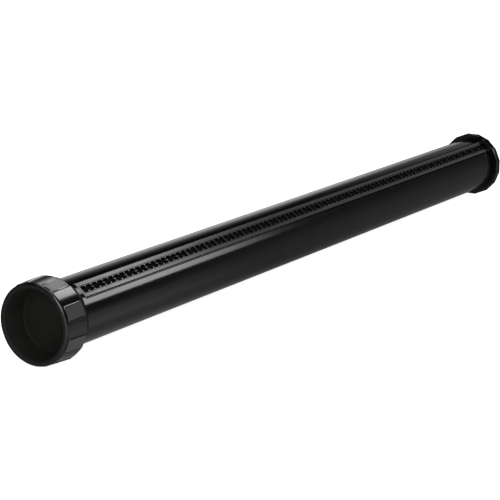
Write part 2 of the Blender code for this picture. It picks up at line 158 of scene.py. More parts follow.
PLUG_R = 24.0 * MM
PLUG_THICKNESS = 2.0 * MM
FLANGE_BORE_R = 21.1 * MM
NOTCH_DEPTH = 3.7 * MM
NOTCH_LOW = -7.5 * MM
NOTCH_HIGH = 10.9 * MM
NOTCH_FLOOR = 23.0 * MM
NOTCH_OPEN = 40 * MM                     # past the flange's rim
CUT_PAST = 2 * MM                        # how far a cutter reaches past the flange's faces

AROUND = 192                             # sides of a turned piece
SEAL_AROUND = 128
SEAL_STEPS = 24                          # points of a seal's round section
BEVEL_ANGLE = math.radians(35.0)
STRAIGHT_OUT = 0.9995                    # least cosine to the strip's outward way for a flat top
WELD = 0.000001


# ---------------------------------------------------------------- mesh helpers

def at(radius, angle, along):
    """A point by its distance from the tube's axis, its angle up from -Y, and its station."""
    return Vector((X_NEAR + along, -radius * math.cos(angle), AXIS_Z + radius * math.sin(angle)))


STRIP_ACROSS = Vector((0.0, math.sin(STRIP_ANGLE), math.cos(STRIP_ANGLE)))
STRIP_OUT = Vector((0.0, -math.cos(STRIP_ANGLE), math.sin(STRIP_ANGLE)))
AXIS_POINT = Vector((X_NEAR, 0.0, AXIS_Z))
STRIP_MATRIX = Matrix.Translation(AXIS_POINT) @ Matrix((
    (1.0, STRIP_ACROSS.x, STRIP_OUT.x),
    (0.0, STRIP_ACROSS.y, STRIP_OUT.y),
    (0.0, STRIP_ACROSS.z, STRIP_OUT.z),
)).to_4x4()


def new_object(name, mesh):
    obj = bpy.data.objects.new(name, mesh)
    bpy.context.scene.collection.objects.link(obj)
    return obj


def mesh_object(name, bm, smooth=True):
    """The mesh as an object, with a closed one's faces turned outward."""
    bmesh.ops.recalc_face_normals(bm, faces=bm.faces)
    if bm.calc_volume(signed=True) < 0:
        bmesh.ops.reverse_faces(bm, faces=bm.faces)
    for face in bm.faces:
        face.smooth = smooth
    mesh = bpy.data.meshes.new(name)
    bm.to_mesh(mesh)
    bm.free()
    return new_object(name, mesh)


def loft(name, rings, closed=True):
    """Quads between rings of points. Closed joins the last ring to the first, or else a face ends each."""
    bm = bmesh.new()
    made = [[bm.verts.new(point) for point in ring] for ring in rings]
    pairs = list(zip(made, made[1:]))
    if closed:
        pairs.append((made[-1], made[0]))
    for ring, following in pairs:
        count = len(ring)
        for i in range(count):
            j = (i + 1) % count
            bm.faces.new((ring[i], ring[j], following[j], following[i]))
    if not closed:
        bm.faces.new(made[0])
        bm.faces.new(made[-1])
    return mesh_object(name, bm)


def turned(name, profile, around=AROUND):
    """A piece turned about the tube's axis from (radius, station) points."""
    angles = [FULL * i / around for i in range(around)]
    rings = [[at(radius, angle, along) for angle in angles] for radius, along in profile]
    return loft(name, rings)


def arc(centre, radius, start_deg, end_deg, count=6):
    """Points of an arc in a (radius, station) or (across, out) plane."""
    points = []
    for i in range(count + 1):
        angle = math.radians(start_deg + (end_deg - start_deg) * i / count)
        points.append((centre[0] + radius * math.cos(angle), centre[1] + radius * math.sin(angle)))
    return points


def prism(name, loops, low, high):
    """A flat outline with holes, extruded between two heights in the strip's axes."""
    curve = bpy.data.curves.new(name, "CURVE")
    curve.dimensions = "2D"
    curve.fill_mode = "BOTH"
    curve.extrude = (high - low) / 2
    for loop in loops:
        spline = curve.splines.new("POLY")
        spline.points.add(len(loop) - 1)
        for point, (x, y) in zip(spline.points, loop):
            point.co = (x, y, 0.0, 1.0)
        spline.use_cyclic_u = True
    return from_curve(name, curve, STRIP_MATRIX @ Matrix.Translation((0.0, 0.0, (low + high) / 2)))


def from_curve(name, curve, matrix):
    """The curve's closed mesh, with its place in its vertices."""
    drawn = new_object(name + "_drawn", curve)
    depsgraph = bpy.context.evaluated_depsgraph_get()
    mesh = bpy.data.meshes.new_from_object(drawn.evaluated_get(depsgraph))
    bpy.data.objects.remove(drawn, do_unlink=True)
    bm = bmesh.new()
    bm.from_mesh(mesh)
    bmesh.ops.remove_doubles(bm, verts=bm.verts, dist=WELD)
    bmesh.ops.transform(bm, matrix=matrix, verts=bm.verts)
    return mesh_object(name, bm, smooth=False)


def section(name, outline, start, end):
    """An outline across the strip, given as (across, out), drawn along the tube."""
    bm = bmesh.new()
    rings = []
    for along in (start, end):
        rings.append([bm.verts.new(STRIP_MATRIX @ Vector((along, s, h))) for s, h in outline])
    count = len(outline)
    for i in range(count):
        j = (i + 1) % count
        bm.faces.new((rings[0][i], rings[0][j], rings[1][j], rings[1][i]))
    bm.faces.new(rings[0])
    bm.faces.new(rings[1])
    return mesh_object(name, bm, smooth=False)


def rectangle(x0, x1, y0, y1):
    return [(x0, y0), (x1, y0), (x1, y1), (x0, y1)]


def block(name, start, end, low_s, high_s, low_h, high_h):
    return prism(name, [rectangle(start, end, low_s, high_s)], low_h, high_h)


def apply_modifiers(obj):
    """Turns the object's modifiers into its mesh."""
    depsgraph = bpy.context.evaluated_depsgraph_get()
    mesh = bpy.data.meshes.new_from_object(obj.evaluated_get(depsgraph))
    obj.modifiers.clear()
    obj.data = mesh


def boolean(obj, others, operation):
    """Cuts the others from the object, or joins them to it, in one step."""
    group = bpy.data.collections.new(obj.name + "_operands")
    for other in others:
        group.objects.link(other)
    modifier = obj.modifiers.new("boolean", "BOOLEAN")
    modifier.operation = operation
    modifier.solver = "EXACT"
    modifier.operand_type = "COLLECTION"
    modifier.collection = group
    apply_modifiers(obj)
    for other in others:
        bpy.data.objects.remove(other, do_unlink=True)
    bpy.data.collections.remove(group)


def round_edges(obj, width, segments):
    """Bevels every edge sharper than BEVEL_ANGLE."""
    bevel = obj.modifiers.new("edges", "BEVEL")
    bevel.width = width
    bevel.segments = segments
    bevel.limit_method = "ANGLE"
    bevel.angle_limit = BEVEL_ANGLE
    bevel.use_clamp_overlap = True
    apply_modifiers(obj)


def flat_tops(obj):
    """The faces that look straight out from the strip stay flat beside their rounded edges."""
    for polygon in obj.data.polygons:
        if polygon.normal.dot(STRIP_OUT) > STRAIGHT_OUT:
            polygon.use_smooth = False


def shade(obj, angle=30.0):
    """Smooth shading that keeps the edges sharper than the angle."""
    for polygon in obj.data.polygons:
        polygon.use_smooth = True
    obj.data.set_sharp_from_angle(angle=math.radians(angle))


# ---------------------------------------------------------------- materials

class Plastic:
    """Builds a Principled material out of procedural nodes."""

    def __init__(self, name):
        self.material = bpy.data.materials.new(name)
        self.material.use_nodes = True
        self.nodes = self.material.node_tree.nodes
        self.links = self.material.node_tree.links
        self.shader = self.nodes["Principled BSDF"]
        self.place = self.nodes.new("ShaderNodeTexCoord").outputs["Object"]

    def link(self, source, target):
        self.links.new(source, target)

    def scaled(self, scale):
        mapping = self.nodes.new("ShaderNodeMapping")
        mapping.inputs["Scale"].default_value = scale
        self.link(self.place, mapping.inputs["Vector"])
        return mapping.outputs["Vector"]

    def noise(self, scale, detail=3.0, roughness=0.5):
        node = self.nodes.new("ShaderNodeTexNoise")
        node.inputs["Scale"].default_value = 1.0
        node.inputs["Detail"].default_value = detail
        node.inputs["Roughness"].default_value = roughness
        self.link(self.scaled(scale), node.inputs["Vector"])
        return node.outputs["Fac"]

    def remap(self, value, low, high, to_low, to_high):
        node = self.nodes.new("ShaderNodeMapRange")
        node.inputs["From Min"].default_value = low
        node.inputs["From Max"].default_value = high
        node.inputs["To Min"].default_value = to_low
        node.inputs["To Max"].default_value = to_high
        self.link(value, node.inputs["Value"])
        return node.outputs["Result"]

    def sum(self, a, b):
        node = self.nodes.new("ShaderNodeMath")
        node.operation = "ADD"
        self.link(a, node.inputs[0])
        self.link(b, node.inputs[1])
        return node.outputs[0]

    def color(self, amount, low, high):
        mix = self.nodes.new("ShaderNodeMix")
        mix.data_type = "RGBA"
        mix.inputs["A"].default_value = (*low, 1.0)
        mix.inputs["B"].default_value = (*high, 1.0)
        self.link(amount, mix.inputs["Factor"])
        self.link(mix.outputs["Result"], self.shader.inputs["Base Color"])

    def bump(self, height, distance):
        node = self.nodes.new("ShaderNodeBump")
        node.inputs["Strength"].default_value = 1.0
        node.inputs["Distance"].default_value = distance
        self.link(height, node.inputs["Height"])
        self.link(node.outputs["Normal"], self.shader.inputs["Normal"])


def even(scale):
    return (scale, scale, scale)


def moulded(name, low, high, roughness, spread, grain, depth, specular=0.5):
    """Injection-moulded plastic: a fine spark grain, faint flow clouds and light handling scuffs."""
    made = Plastic(name)
    made.shader.inputs["Specular IOR Level"].default_value = specular
    clouds = made.noise(even(70.0), detail=4.0)
    scuffs = made.noise((900.0, 260.0, 260.0), detail=2.0, roughness=0.7)
    fine = made.noise(even(grain), detail=2.0)
    rough = made.remap(clouds, 0.3, 0.7, roughness - spread, roughness + spread)
    worn = made.remap(scuffs, 0.62, 0.8, 0.0, spread)
    made.link(made.sum(rough, worn), made.shader.inputs["Roughness"])
    made.color(made.remap(clouds, 0.25, 0.75, 0.0, 1.0), low, high)
    made.bump(fine, depth)
    return made.material


def extruded(name, low, high, roughness, spread):
    """Extruded tube: long die lines along the axis over a faint orange peel."""
    made = Plastic(name)
    clouds = made.noise(even(45.0), detail=4.0)
    lines = made.noise((2.5, 620.0, 620.0), detail=3.0, roughness=0.65)
    peel = made.noise((160.0, 420.0, 420.0), detail=1.0)
    rough = made.remap(clouds, 0.3, 0.7, roughness - spread, roughness + spread)
    streak = made.remap(lines, 0.3, 0.7, -spread, spread)
    made.link(made.sum(rough, streak), made.shader.inputs["Roughness"])
    made.color(made.remap(clouds, 0.25, 0.75, 0.0, 1.0), low, high)
    made.bump(made.sum(lines, made.remap(peel, 0.0, 1.0, 0.0, 0.8)), 0.012 * MM)
    return made.material


def rubber(name):
    made = Plastic(name)
    fine = made.noise(even(2600.0), detail=2.0)
    dust = made.noise(even(240.0), detail=4.0)
    made.link(made.remap(dust, 0.3, 0.7, 0.6, 0.78), made.shader.inputs["Roughness"])
    made.color(made.remap(dust, 0.5, 0.8, 0.0, 1.0), (0.012, 0.012, 0.012), (0.03, 0.029, 0.028))
    made.bump(fine, 0.02 * MM)
    return made.material


TUBE_BLACK = extruded("tube_plastic", (0.0022, 0.0022, 0.002), (0.0032, 0.0032, 0.0029), 0.12, 0.015)
STRIP_BLACK = moulded("strip_plastic", (0.0025, 0.0025, 0.0023), (0.0038, 0.0038, 0.0034), 0.16, 0.02,
                      2200.0, 0.008 * MM)
# Painted shade: the rack's channel gets a darker, almost unreflective copy of the strip plastic, standing
# in for the shade in its cells. Its higher roughness is a duller finish.
CHANNEL_SHADE_BLACK = moulded("channel_painted_shade_plastic", (0.0012, 0.0012, 0.0011), (0.002, 0.002, 0.0018), 0.62, 0.05,
                        2200.0, 0.02 * MM, specular=0.04)
CAP_BLACK = moulded("cap_plastic", (0.003, 0.003, 0.0028), (0.0045, 0.0045, 0.0041), 0.15, 0.02,
                    1900.0, 0.008 * MM)
PAD_BLACK = moulded("cap_pad_plastic", (0.036, 0.036, 0.034), (0.046, 0.046, 0.0435), 0.4, 0.04,
                    1500.0, 0.03 * MM)
CUP_BLACK = moulded("cup_plastic", (0.009, 0.0092, 0.0082), (0.0125, 0.0127, 0.0115), 0.55, 0.04,
                    1500.0, 0.03 * MM, specular=0.04)
FLANGE_BLACK = moulded("flange_plastic", (0.002, 0.002, 0.0018), (0.003, 0.003, 0.0027), 0.2, 0.02,
                       1900.0, 0.01 * MM, specular=0.25)
EDGE_BLACK = moulded("flange_edge_plastic", (0.003, 0.003, 0.0028), (0.0045, 0.0045, 0.0041), 0.2, 0.02,
                     1900.0, 0.008 * MM)
INNER_BLACK = moulded("inner_plastic", (0.008, 0.008, 0.0078), (0.013, 0.013, 0.0125), 0.42, 0.05,
                      1800.0, 0.02 * MM)
SEAL_BLACK = rubber("seal_rubber")


def finish_piece(obj, material, body, node):
    """Gives the piece its material and its body, and hides the CAD node it stands for."""
    obj.data.materials.clear()
    obj.data.materials.append(material)
    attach(obj, body)
    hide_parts(node)
    return obj


# ---------------------------------------------------------------- outer tube and its strip

def groove_outline(floor, half):
    """Rebate under the strip with a round groove beside each rail, as (across, out)."""
    clear = 30 * MM
    right = [(half, floor)]
    right += arc((GROOVE_S, GROOVE_H), GROOVE_R, -115, 0, 10)
    edge = GROOVE_S + GROOVE_R
    right += [(edge + 0.1 * MM, GROOVE_H + 0.5 * MM), (edge + 0.1 * MM, clear)]
    left = [(-s, h) for s, h in reversed(right)]
    return left + right


def outer_tube():
    lip = 1.3 * MM
    bore = TUBE_R - TUBE_WALL
    profile = arc((TUBE_R - lip, TUBE_END - lip), lip, 0, 90, 8)
    profile += arc((bore + 0.4 * MM, TUBE_END - 0.4 * MM), 0.4 * MM, 90, 180, 4)
    profile += [(bore, TUBE_START), (TUBE_R - 0.8 * MM, TUBE_START), (TUBE_R, TUBE_START + 0.8 * MM)]
    tube = turned("outer_tube_shell", profile)
    past = TUBE_END + 5 * MM
    start = FRAME_START - GAP
    groove = section("groove_cutter", groove_outline(REBATE_FLOOR, REBATE_HALF), start, past)
    slot = block("slot_cutter", start + 1 * MM, past, -SLOT_HALF, SLOT_HALF, 20 * MM, 24 * MM)
    boolean(tube, [groove, slot], "DIFFERENCE")
    shade(tube, 25)
    return finish_piece(tube, TUBE_BLACK, "outer_tube_assembly", "outer_tube")


def strip_frame():
    outer = rectangle(FRAME_START, FRAME_END, -RAIL_OUTER, RAIL_OUTER)
    window = rectangle(FRAME_START + FRAME_END_BAR, FRAME_END - KEY_LENGTH, -RAIL_INNER, RAIL_INNER)
    rails = prism("strip_rails", [outer, window], FRAME_FLOOR, STRIP_TOP)
    inset = 0.02 * MM
    key = block("key_block", FRAME_END - KEY_LENGTH, FRAME_END - inset, inset - RAIL_OUTER,
                RAIL_OUTER - inset, FRAME_FLOOR + 0.2 * MM, KEY_TOP)
    boolean(rails, [key], "UNION")
    round_edges(rails, 0.22 * MM, 3)
    shade(rails)
    flat_tops(rails)
    return finish_piece(rails, STRIP_BLACK, "outer_tube_assembly", "strip_frame")


def comb(start, end, root, tip, spine, width, step):
    """A toothed edge: a straight spine at root with teeth that reach tip."""
    points = [(start, root), (start, spine)]
    along = start + step
    while along + width < end:
        points += [(along - width / 2, spine), (along - width / 2, tip)]
        points += [(along + width / 2, tip), (along + width / 2, spine)]
        along += step
    return points + [(end, spine), (end, root)]


def step_number(name, number, along):
    """One moulded number of the length scale, read across the strip."""
    curve = bpy.data.curves.new(name, "FONT")
    curve.body = str(number)
    curve.size = NUMBER_HEIGHT * FONT_PER_HEIGHT
    curve.align_x = "CENTER"
    curve.align_y = "CENTER"
    curve.resolution_u = 3
    low = RACK_BASE_HIGH - 0.1 * MM
    curve.extrude = (NUMBER_TOP - low) / 2
    turn = Matrix.Rotation(-QUARTER, 4, "Z")
    place = Matrix.Translation((along, 0.0, (NUMBER_TOP + low) / 2))
    return from_curve(name, curve, STRIP_MATRIX @ place @ turn)


def rack_strip(name, node, span):
    start, end = span
    base_end = min(end, TUBE_END - 0.5 * MM)
    base = rectangle(start, base_end, -RACK_BASE_HALF, RACK_BASE_HALF)
    if end > base_end:
        narrow = RACK_HALF - GAP
        base[2:2] = [(base_end, -narrow), (end, -narrow), (end, narrow), (base_end, narrow)]
    strip = prism(name, [base], RACK_BASE_LOW, RACK_BASE_HIGH)
    sink = 0.2 * MM
    inset = 0.05 * MM
    raised = []
    for side in (1, -1):
        ticks = comb(start + inset, end - inset, side * RACK_HALF, side * (RACK_HALF - TICK_LENGTH),
                     side * (RACK_HALF - SPINE), TICK_WIDTH, PITCH / 2)
        raised.append(prism(f"{name}_ticks_{side}", [ticks], RACK_BASE_HIGH - sink, RACK_TOP))
    raised.append(block(name + "_bar", start + 2 * inset, start + END_BAR, inset - RACK_HALF,
                        RACK_HALF - inset, RACK_BASE_HIGH - 0.25 * MM, RACK_TOP - inset))
    for piece in raised:
        round_edges(piece, 0.1 * MM, 2)
    inner_end = base_end - TEETH_STOP if end > base_end else end
    teeth = comb(start + inset, inner_end - inset, -RACK_HALF, TOOTH_REACH - RACK_HALF,
                 SPINE - RACK_HALF, TOOTH_WIDTH, PITCH)
    raised.append(prism(name + "_teeth", [teeth], TEETH_LOW, RACK_BASE_LOW + sink))
    for number in range(1, STEPS_PER_RACK):
        along = start + number * PITCH
        if along + NUMBER_HEIGHT > end:
            break
        raised.append(step_number(f"{name}_number_{number}", number, along))
    boolean(strip, raised, "UNION")
    shade(strip)
    flat_tops(strip)
    finish_piece(strip, STRIP_BLACK, "outer_tube_assembly", node)
    # The faces low in the channel take the channel plastic, painted darker as the shade in the rack's
    # cells.
    strip.data.materials.append(CHANNEL_SHADE_BLACK)
    to_strip = STRIP_MATRIX.inverted()
    for polygon in strip.data.polygons:
        if (to_strip @ polygon.center).z < CHANNEL_SHADE_TOP:
            polygon.material_index = 1
    return strip


# ---------------------------------------------------------------- cap

PAD_RISE = 0.58 * MM
PAD_START = 3.0 * MM
PAD_EDGE = math.radians(1.8)
LOBE_CROWN = 0.04 * MM
FRONT_ROUND = 1.9 * MM
GRIP_DRAFT = 1.0 * MM                   # how much narrower the grip is at its front
FACET = FULL / FACETS
PAIR = 2 * FACET                         # one pad and one lobe


def grip_angles():
    """Angles round the grip with each one's share of pad, from 0 on a lobe to 1 on a pad."""
    angles = []
    lobe_half = FACET - PAD_HALF_ANGLE - 0.8 * PAD_EDGE
    for k in range(FACETS // 2):
        pad = (k + 0.5) * PAIR
        for i in range(-5, 6):
            angles.append((pad + (PAD_HALF_ANGLE - 0.6 * PAD_EDGE) * i / 5, 1.0))
        angles.append((pad + PAD_HALF_ANGLE, 0.8))
        angles.append((pad + PAD_HALF_ANGLE + 0.4 * PAD_EDGE, 0.1))
        for i in range(-8, 9):
            angles.append((pad + FACET + lobe_half * i / 8, 0.0))
        angles.append((pad + PAIR - PAD_HALF_ANGLE - 0.4 * PAD_EDGE, 0.1))
        angles.append((pad + PAIR - PAD_HALF_ANGLE, 0.8))
    return angles


def offset_from(angle, centre, step):
    """Angle from the nearest of the centres that repeat at the step."""
    return (angle - centre + step / 2) % step - step / 2


def grip_radius(angle, pad_share):
    """Radius of the grip's outside: flat pads that stand above the crowned lobes between them."""
    flat = GRIP_APOTHEM / math.cos(offset_from(angle, PAIR / 2, PAIR))
    edge = GRIP_APOTHEM / math.cos(PAD_HALF_ANGLE) - PAD_RISE
    across = offset_from(angle, 0.0, PAIR) / (FACET - PAD_HALF_ANGLE)
    lobe = edge + LOBE_CROWN * (1 - across ** 2)
    return flat * pad_share + lobe * (1 - pad_share)


def cap_grip():
    rim = RIM_R + GAP
    around = grip_angles()
    rings = []

    def add(along, inset=0.0, pads=1.0, apothem=None):
        """A ring at a station: pads fades the pads out, and an apothem cuts it to a 16-sided cone."""
        ring = []
        draft = GRIP_DRAFT * max(0.0, 1 - along / PAD_END)
        for angle, share in around:
            radius = grip_radius(angle, share * pads) - inset - draft
            if apothem is not None:
                radius = min(radius, apothem / math.cos(offset_from(angle, 0.0, FACET)))
            ring.append(at(radius, angle, along))
        rings.append(ring)

    def add_round(radius, along):
        rings.append([at(radius, angle, along) for angle, share in around])

    add_round(rim, 0.25 * MM)
    add_round(rim + 0.25 * MM, 0.0)
    for i in range(7):
        turn = QUARTER * i / 6
        add(FRONT_ROUND * (1 - math.cos(turn)), FRONT_ROUND * (1 - math.sin(turn)), 0.0)
    for along, pads in ((-0.1, 0.0), (0.1, 0.5), (0.35, 0.92), (0.6, 1.0)):
        add(PAD_START + along * MM, 0.0, pads)
    for along, pads in ((-0.6, 1.0), (-0.35, 0.92), (-0.1, 0.5), (0.1, 0.0)):
        add(PAD_END + along * MM, 0.0, pads)
    slope = (GRIP_APOTHEM - CAP_REAR_APOTHEM) / (CAP_END - PAD_END)
    for share in (0.06, 0.12, 0.2, 0.3, 0.45, 0.6, 0.75, 0.93):
        along = PAD_END + (CAP_END - PAD_END) * share
        add(along, 0.0, 0.0, GRIP_APOTHEM - slope * (along - PAD_END))
    add(CAP_END - 0.15 * MM, 0.0, 0.0, CAP_REAR_APOTHEM + 0.05 * MM)
    add(CAP_END, 0.0, 0.0, CAP_REAR_APOTHEM - 0.35 * MM)
    add_round(SOCKET_R + 0.3 * MM, CAP_END)
    add_round(SOCKET_R, CAP_END - 0.3 * MM)
    add_round(SOCKET_R, CUP_BACK + GAP)
    add_round(rim, CUP_BACK + GAP)
    grip = loft("cap_grip", rings)
    shade(grip, 24)
    finish_piece(grip, CAP_BLACK, "end_cap", "cap_grip_ring")
    grip.data.materials.append(PAD_BLACK)
    for polygon in grip.data.polygons:
        centre = polygon.center
        along = station(centre.x)
        angle = math.atan2(centre.z - AXIS_Z, -centre.y)
        on_pad = abs(offset_from(angle, PAIR / 2, PAIR)) < PAD_HALF_ANGLE - 0.5 * PAD_EDGE
        outside = math.hypot(centre.y, centre.z - AXIS_Z) > GRIP_APOTHEM - GRIP_DRAFT - 0.5 * MM
        if on_pad and outside and PAD_START < along < PAD_END:
            polygon.material_index = 1
    return grip


def arc_down(radius, along, size):
    """The rounded outer corner of a front rim, from its side to its face."""
    turns = [QUARTER * i / 5 for i in range(6)]
    return [(radius + size * math.cos(a), along - size * math.sin(a)) for a in turns]


def cap_cup():
    seal_low = SEAL_STATION - SEAL_R - GAP
    seal_high = SEAL_STATION + SEAL_R + GAP
    seal_floor = SPIGOT_R - SEAL_DEPTH
    profile = [(0.0, CUP_BACK), (SPIGOT_BORE_R, CUP_BACK), (SPIGOT_BORE_R, SPIGOT_END - 0.4 * MM)]
    profile += [(SPIGOT_BORE_R + 0.4 * MM, SPIGOT_END), (SPIGOT_R - 0.8 * MM, SPIGOT_END)]
    profile += [(SPIGOT_R, SPIGOT_END - 1.5 * MM), (SPIGOT_R, seal_high), (seal_floor, seal_high)]
    profile += [(seal_floor, seal_low), (SPIGOT_R, seal_low), (SPIGOT_R, CUP_BACK)]
    profile += [(RIM_R, CUP_BACK)]
    profile += arc_down(RIM_R - 0.5 * MM, 0.5 * MM, 0.5 * MM)
    profile += [(RIM_R - 1.2 * MM, 0.04 * MM), (CUP_MOUTH_R + 0.25 * MM, 0.85 * MM)]
    profile += [(CUP_MOUTH_R + 0.08 * MM, 1.1 * MM), (CUP_MOUTH_R, 1.5 * MM)]
    fillet = 1.6 * MM
    for i in range(9):
        turn = QUARTER * i / 8
        profile.append((CUP_FLOOR_R - fillet * (1 - math.cos(turn)),
                        CUP_DEPTH - fillet * (1 - math.sin(turn))))
    profile += [(1.1 * MM, CUP_DEPTH), (0.9 * MM, CUP_DEPTH + 0.2 * MM), (0.0, CUP_DEPTH + 0.25 * MM)]
    cup = turned_solid("cap_cup_body", profile)
    shade(cup, 40)
    return finish_piece(cup, CUP_BLACK, "end_cap", "cap_cup")


def turned_solid(name, profile):
    """A turned piece whose profile starts and ends on the axis."""
    bm = bmesh.new()
    angles = [FULL * i / AROUND for i in range(AROUND)]
    first = bm.verts.new(at(0.0, 0.0, profile[0][1]))
    last = bm.verts.new(at(0.0, 0.0, profile[-1][1]))
    rings = []
    for radius, along in profile[1:-1]:
        rings.append([bm.verts.new(at(radius, angle, along)) for angle in angles])
    for ring, following in zip(rings, rings[1:]):
        for i in range(AROUND):
            j = (i + 1) % AROUND
            bm.faces.new((ring[i], ring[j], following[j], following[i]))
    for i in range(AROUND):
        j = (i + 1) % AROUND
        bm.faces.new((first, rings[0][j], rings[0][i]))
        bm.faces.new((last, rings[-1][i], rings[-1][j]))
    return mesh_object(name, bm)


def seal(name, node, body, spigot_r, along):
    centre = spigot_r - SEAL_DEPTH + GAP + SEAL_R
    profile = arc((centre, along), SEAL_R, 0, 360 - 360 / SEAL_STEPS, SEAL_STEPS - 1)
    ring = turned(name, profile, around=SEAL_AROUND)
    return finish_piece(ring, SEAL_BLACK, body, node)


# ---------------------------------------------------------------- inner tube, flange and plug

def inner_tube():
    bore = INNER_R - INNER_WALL
    profile = [(INNER_R, INNER_END), (INNER_R, INNER_START + 0.6 * MM)]
    profile += [(INNER_R - 0.2 * MM, INNER_START + 0.2 * MM)]
    profile += [(INNER_R - 0.6 * MM, INNER_START), (bore, INNER_START), (bore, INNER_END)]
    tube = turned("inner_tube_shell", profile)
    shade(tube, 30)
    return finish_piece(tube, TUBE_BLACK, "inner_tube_assembly", "inner_tube")


def far_flange():
    corner = 1 / math.cos(FACET / 2)
    angles = [FACET * (k + 0.5) for k in range(FACETS)]
    edge = 0.55 * MM
    rings = []
    for apothem, along in ((FLANGE_APOTHEM - edge, FLANGE_START), (FLANGE_APOTHEM, FLANGE_START + edge),
                           (FLANGE_APOTHEM, LENGTH - edge), (FLANGE_APOTHEM - edge, LENGTH)):
        rings.append([at(apothem * corner, angle, along) for angle in angles])
    flange = loft("far_flange_body", rings, closed=False)
    seat = LENGTH - PLUG_THICKNESS - GAP
    before = FLANGE_START - CUT_PAST
    past = LENGTH + CUT_PAST
    bore = turned_solid("flange_bore", [(0.0, past), (PLUG_R + GAP, past), (PLUG_R + GAP, seat),
                                        (FLANGE_BORE_R, seat), (FLANGE_BORE_R, before), (0.0, before)])
    notch = block("flange_notch", before, FLANGE_START + NOTCH_DEPTH, NOTCH_LOW, NOTCH_HIGH,
                  NOTCH_FLOOR, NOTCH_OPEN)
    boolean(flange, [bore, notch], "DIFFERENCE")
    shade(flange, 20)
    finish_piece(flange, FLANGE_BLACK, "inner_tube_assembly", "far_flange")
    flange.data.materials.append(EDGE_BLACK)
    for polygon in flange.data.polygons:
        slanted = 0.3 < -polygon.normal.x < 0.9
        if slanted and station(polygon.center.x) < FLANGE_START + edge:
            polygon.material_index = 1
    return flange


def far_plug():
    back = LENGTH - PLUG_THICKNESS
    inner_end = node_span("far_plug")[0]
    seal_station = sum(node_span("far_seal_ring")) / 2
    spigot_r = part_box("far_seal_ring")[1].y - SEAL_R * 2 + SEAL_DEPTH - GAP
    low, high = seal_station - SEAL_R - GAP, seal_station + SEAL_R + GAP
    floor = spigot_r - SEAL_DEPTH
    bore = spigot_r - 3.5 * MM
    hub = LENGTH - 0.7 * MM
    recess = LENGTH - 1.0 * MM
    profile = [(0.0, hub), (1.5 * MM, hub), (1.8 * MM, recess), (PLUG_R - 3.2 * MM, recess)]
    profile += [(PLUG_R - 2.9 * MM, LENGTH - 0.9 * MM), (PLUG_R - 2.6 * MM, LENGTH - 0.1 * MM)]
    profile += [(PLUG_R - 2.4 * MM, LENGTH)]
    profile += [(PLUG_R - 0.4 * MM, LENGTH), (PLUG_R - 0.1 * MM, LENGTH - 0.1 * MM)]
    profile += [(PLUG_R, LENGTH - 0.4 * MM), (PLUG_R, back), (spigot_r, back)]
    profile += [(spigot_r, high), (floor, high), (floor, low), (spigot_r, low)]
    profile += [(spigot_r, inner_end + 1 * MM), (spigot_r - 0.6 * MM, inner_end), (bore, inner_end)]
    profile += [(bore, back), (0.0, back)]
    plug = turned_solid("far_plug_body", profile)
    shade(plug, 30)
    finish_piece(plug, CUP_BLACK, "inner_tube_assembly", "far_plug")
    return plug, seal("far_seal", "far_seal_ring", "inner_tube_assembly", spigot_r, seal_station)


def hidden_rings():
    """The bearing, guide, stop and lock rings keep their CAD shape and get the dull plastic."""
    rings = [frame["nodes"][node] for node in ("mouth_bush", "guide_ring", "lock_ring", "stop_collar")]
    for ring in rings:
        ring.data.materials.clear()
        ring.data.materials.append(INNER_BLACK)
    return rings


# ---------------------------------------------------------------- stage, lights and camera

FLOOR_SIZE = 12.0
FLOOR_DROP = 0.2 * MM
SOFTBOX_PLANE = 0.62                     # x of the plane that the softboxes stand in
TUBE_LIGHT_R = 0.833                     # the tube's softboxes end here, so they can't hide the cap's
CAP_LIGHT_R = 0.837
SOFTBOX_STEPS = 24


def stage():
    bm = bmesh.new()
    bmesh.ops.create_grid(bm, x_segments=1, y_segments=1, size=FLOOR_SIZE)
    floor = mesh_object("floor", bm, smooth=False)
    floor.location = (0.0, 0.0, CAD_LOW.z - FLOOR_DROP)
    material = bpy.data.materials.new("floor_paper")
    material.use_nodes = True
    shader = material.node_tree.nodes["Principled BSDF"]
    shader.inputs["Base Color"].default_value = (0.82, 0.82, 0.82, 1.0)
    shader.inputs["Roughness"].default_value = 0.9
    shader.inputs["Specular IOR Level"].default_value = 0.1
    shader.inputs["Emission Color"].default_value = (1.0, 1.0, 1.0, 1.0)
    shader.inputs["Emission Strength"].default_value = 0.95
    floor.data.materials.append(material)
    floor.visible_glossy = False


